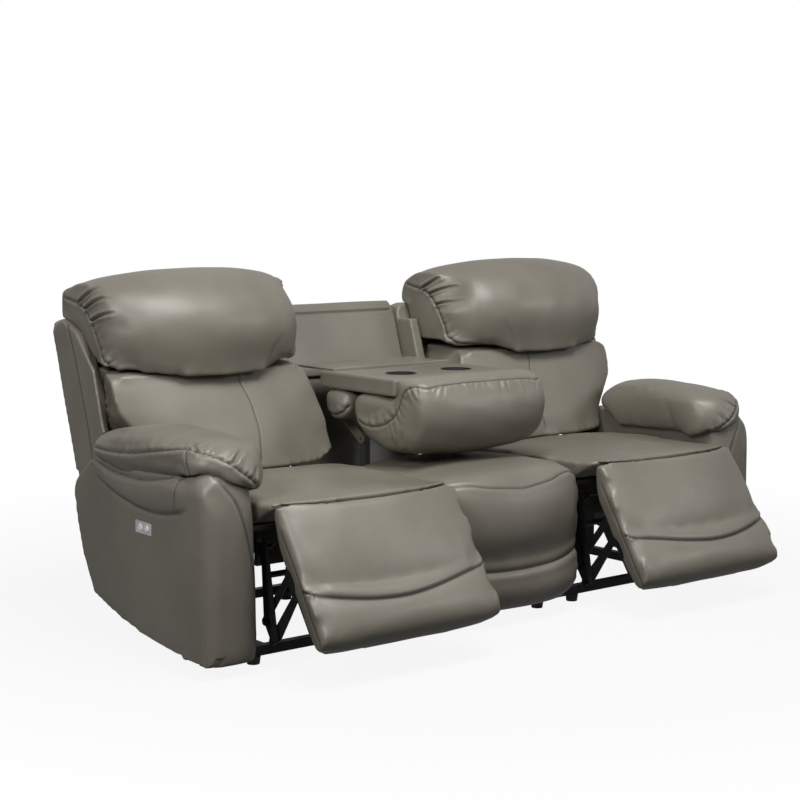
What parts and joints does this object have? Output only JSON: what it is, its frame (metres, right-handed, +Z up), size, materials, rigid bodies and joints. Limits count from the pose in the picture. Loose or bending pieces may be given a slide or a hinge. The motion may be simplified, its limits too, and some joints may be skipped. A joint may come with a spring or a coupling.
{
  "type": "power reclining sofa",
  "caption": "Power reclining sofa with pillow backs, stuffed arms, powered footrests on folding links and a centre seat whose back folds down into a table with cup holders.",
  "frame": {"origin": "on the floor, below the middle of the sofa's bounding box in the stored pose", "axes": "+X to the sitter's left as seen from the front right, along the sofa's width; +Y to the rear; +Z up"},
  "size_m": [2.188, 1.2565, 1.0675],
  "materials": {
    "leather": "semi-gloss grained leather",
    "black_steel": "satin black",
    "timber": "raw",
    "dark_cloth": "matt",
    "satin_metal": "satin",
    "black_plastic": "matt"
  },
  "bodies": {
    "base": {"base_frame": "black_steel", "centre_seat_cushion": "leather", "centre_seat_frame": "timber", "centre_back_shell": "leather", "recess_panel": "leather", "left_outer_foot": "black_plastic", "left_middle_foot": "black_plastic", "left_inner_foot": "black_plastic", "left_seat_frame": "black_steel", "left_seat_deck": "dark_cloth", "left_seat_cushion": "leather", "left_motor": "black_plastic", "left_arm": "leather", "left_arm_pad": "leather", "left_switch_plate": "satin_metal", "right_outer_foot": "black_plastic", "right_middle_foot": "black_plastic", "right_inner_foot": "black_plastic", "right_seat_frame": "black_steel", "right_seat_deck": "dark_cloth", "right_seat_cushion": "leather", "right_motor": "black_plastic", "right_arm": "leather", "right_arm_pad": "leather", "right_switch_plate": "satin_metal"},
    "left_back": {"left_back_shell": "leather", "left_lumbar_cushion": "leather", "left_head_pillow": "leather"},
    "left_front_links": {"left_front_links": "black_steel"},
    "left_guide_links": {"left_guide_links": "black_steel"},
    "left_outer_link_left": {"left_outer_link_left": "black_steel"},
    "left_inner_link_left": {"left_inner_link_left": "black_steel"},
    "left_outer_link_right": {"left_outer_link_right": "black_steel"},
    "left_inner_link_right": {"left_inner_link_right": "black_steel"},
    "left_footrest": {"left_footrest_pad": "leather", "left_footrest_frame": "black_steel"},
    "left_push_rod": {"left_push_rod": "satin_metal"},
    "left_front_button": {"left_front_button": "black_plastic"},
    "left_rear_button": {"left_rear_button": "black_plastic"},
    "right_back": {"right_back_shell": "leather", "right_lumbar_cushion": "leather", "right_head_pillow": "leather"},
    "right_front_links": {"right_front_links": "black_steel"},
    "right_guide_links": {"right_guide_links": "black_steel"},
    "right_outer_link_left": {"right_outer_link_left": "black_steel"},
    "right_inner_link_left": {"right_inner_link_left": "black_steel"},
    "right_outer_link_right": {"right_outer_link_right": "black_steel"},
    "right_inner_link_right": {"right_inner_link_right": "black_steel"},
    "right_footrest": {"right_footrest_pad": "leather", "right_footrest_frame": "black_steel"},
    "right_push_rod": {"right_push_rod": "satin_metal"},
    "right_front_button": {"right_front_button": "black_plastic"},
    "right_rear_button": {"right_rear_button": "black_plastic"},
    "console": {"console_table": "leather", "console_pillow": "leather", "console_roll": "leather", "left_cup_holder": "black_plastic", "right_cup_holder": "black_plastic"},
    "console_flap": {"console_flap": "leather"}
  },
  "joints": [
    {"name": "left_recline", "type": "hinge", "parent": "base", "child": "left_back", "pos_m": [-0.6015, 0.2442, 0.3175], "axis": [-1, 0, 0], "range_deg": [0, 28]},
    {"name": "left_footrest_drive", "type": "hinge", "parent": "base", "child": "left_front_links", "pos_m": [-0.6015, -0.2508, 0.33], "axis": [-1, 0, 0], "range_deg": [-36, 55]},
    {"name": "left_guide_link_pivot", "type": "hinge", "parent": "base", "child": "left_guide_links", "pos_m": [-0.6015, -0.2854, 0.35], "axis": [-1, 0, 0], "range_deg": [-36, 55]},
    {"name": "left_outer_link_left_pivot", "type": "hinge", "parent": "left_front_links", "child": "left_outer_link_left", "pos_m": [-0.6015, -0.2963, 0.07198], "axis": [-1, 0, 0], "range_deg": [-55, 36]},
    {"name": "left_inner_link_left_pivot", "type": "hinge", "parent": "left_front_links", "child": "left_inner_link_left", "pos_m": [-0.6015, -0.26274, 0.12172], "axis": [-1, 0, 0], "range_deg": [-55, 36]},
    {"name": "left_outer_link_right_pivot", "type": "hinge", "parent": "left_front_links", "child": "left_outer_link_right", "pos_m": [-0.6015, -0.2963, 0.07198], "axis": [-1, 0, 0], "range_deg": [-55, 36]},
    {"name": "left_inner_link_right_pivot", "type": "hinge", "parent": "left_front_links", "child": "left_inner_link_right", "pos_m": [-0.6015, -0.26274, 0.12172], "axis": [-1, 0, 0], "range_deg": [-55, 36]},
    {"name": "left_footrest_pivot", "type": "hinge", "parent": "left_outer_link_left", "child": "left_footrest", "pos_m": [-0.6015, -0.4173, 0.22198], "axis": [-1, 0, 0], "range_deg": [-36, 55]},
    {"name": "left_push_rod_slide", "type": "slide", "parent": "base", "child": "left_push_rod", "axis": [0, -1, 0], "range_m": [-0.0292, 0.0446]},
    {"name": "left_front_button_press", "type": "slide", "parent": "base", "child": "left_front_button", "axis": [1, 0, 0], "range_m": [0, 0.002], "stiffness_N_per_m": 800},
    {"name": "left_rear_button_press", "type": "slide", "parent": "base", "child": "left_rear_button", "axis": [1, 0, 0], "range_m": [0, 0.002], "stiffness_N_per_m": 800},
    {"name": "right_recline", "type": "hinge", "parent": "base", "child": "right_back", "pos_m": [0.6015, 0.2442, 0.3175], "axis": [-1, 0, 0], "range_deg": [0, 28]},
    {"name": "right_footrest_drive", "type": "hinge", "parent": "base", "child": "right_front_links", "pos_m": [0.6015, -0.2508, 0.33], "axis": [-1, 0, 0], "range_deg": [-36, 55]},
    {"name": "right_guide_link_pivot", "type": "hinge", "parent": "base", "child": "right_guide_links", "pos_m": [0.6015, -0.2854, 0.35], "axis": [-1, 0, 0], "range_deg": [-36, 55]},
    {"name": "right_outer_link_left_pivot", "type": "hinge", "parent": "right_front_links", "child": "right_outer_link_left", "pos_m": [0.6015, -0.2963, 0.07198], "axis": [-1, 0, 0], "range_deg": [-55, 36]},
    {"name": "right_inner_link_left_pivot", "type": "hinge", "parent": "right_front_links", "child": "right_inner_link_left", "pos_m": [0.6015, -0.26274, 0.12172], "axis": [-1, 0, 0], "range_deg": [-55, 36]},
    {"name": "right_outer_link_right_pivot", "type": "hinge", "parent": "right_front_links", "child": "right_outer_link_right", "pos_m": [0.6015, -0.2963, 0.07198], "axis": [-1, 0, 0], "range_deg": [-55, 36]},
    {"name": "right_inner_link_right_pivot", "type": "hinge", "parent": "right_front_links", "child": "right_inner_link_right", "pos_m": [0.6015, -0.26274, 0.12172], "axis": [-1, 0, 0], "range_deg": [-55, 36]},
    {"name": "right_footrest_pivot", "type": "hinge", "parent": "right_outer_link_left", "child": "right_footrest", "pos_m": [0.6015, -0.4173, 0.22198], "axis": [-1, 0, 0], "range_deg": [-36, 55]},
    {"name": "right_push_rod_slide", "type": "slide", "parent": "base", "child": "right_push_rod", "axis": [0, -1, 0], "range_m": [-0.0292, 0.0446]},
    {"name": "right_front_button_press", "type": "slide", "parent": "base", "child": "right_front_button", "axis": [-1, 0, 0], "range_m": [0, 0.002], "stiffness_N_per_m": 800},
    {"name": "right_rear_button_press", "type": "slide", "parent": "base", "child": "right_rear_button", "axis": [-1, 0, 0], "range_m": [0, 0.002], "stiffness_N_per_m": 800},
    {"name": "console_fold", "type": "hinge", "parent": "base", "child": "console", "pos_m": [0, 0.2092, 0.52], "axis": [-1, 0, 0], "range_deg": [0, 70]},
    {"name": "console_flap_hinge", "type": "hinge", "parent": "console", "child": "console_flap", "pos_m": [0, 0.2542, 0.7443], "axis": [1, 0, 0], "range_deg": [0, 178]}
  ],
  "couplings": [
    {"joint": "left_guide_link_pivot", "follows": "left_footrest_drive", "ratio": 1},
    {"joint": "left_outer_link_left_pivot", "follows": "left_footrest_drive", "ratio": -1},
    {"joint": "left_inner_link_left_pivot", "follows": "left_footrest_drive", "ratio": -1},
    {"joint": "left_outer_link_right_pivot", "follows": "left_footrest_drive", "ratio": -1},
    {"joint": "left_inner_link_right_pivot", "follows": "left_footrest_drive", "ratio": -1},
    {"joint": "left_footrest_pivot", "follows": "left_footrest_drive", "ratio": 1},
    {"joint": "left_push_rod_slide", "follows": "left_footrest_drive", "m_per_rad": 0.0462},
    {"joint": "right_guide_link_pivot", "follows": "right_footrest_drive", "ratio": 1},
    {"joint": "right_outer_link_left_pivot", "follows": "right_footrest_drive", "ratio": -1},
    {"joint": "right_inner_link_left_pivot", "follows": "right_footrest_drive", "ratio": -1},
    {"joint": "right_outer_link_right_pivot", "follows": "right_footrest_drive", "ratio": -1},
    {"joint": "right_inner_link_right_pivot", "follows": "right_footrest_drive", "ratio": -1},
    {"joint": "right_footrest_pivot", "follows": "right_footrest_drive", "ratio": 1},
    {"joint": "right_push_rod_slide", "follows": "right_footrest_drive", "m_per_rad": 0.0462},
    {"joint": "console_flap_hinge", "follows": "console_fold", "ratio": 2.5}
  ]
}
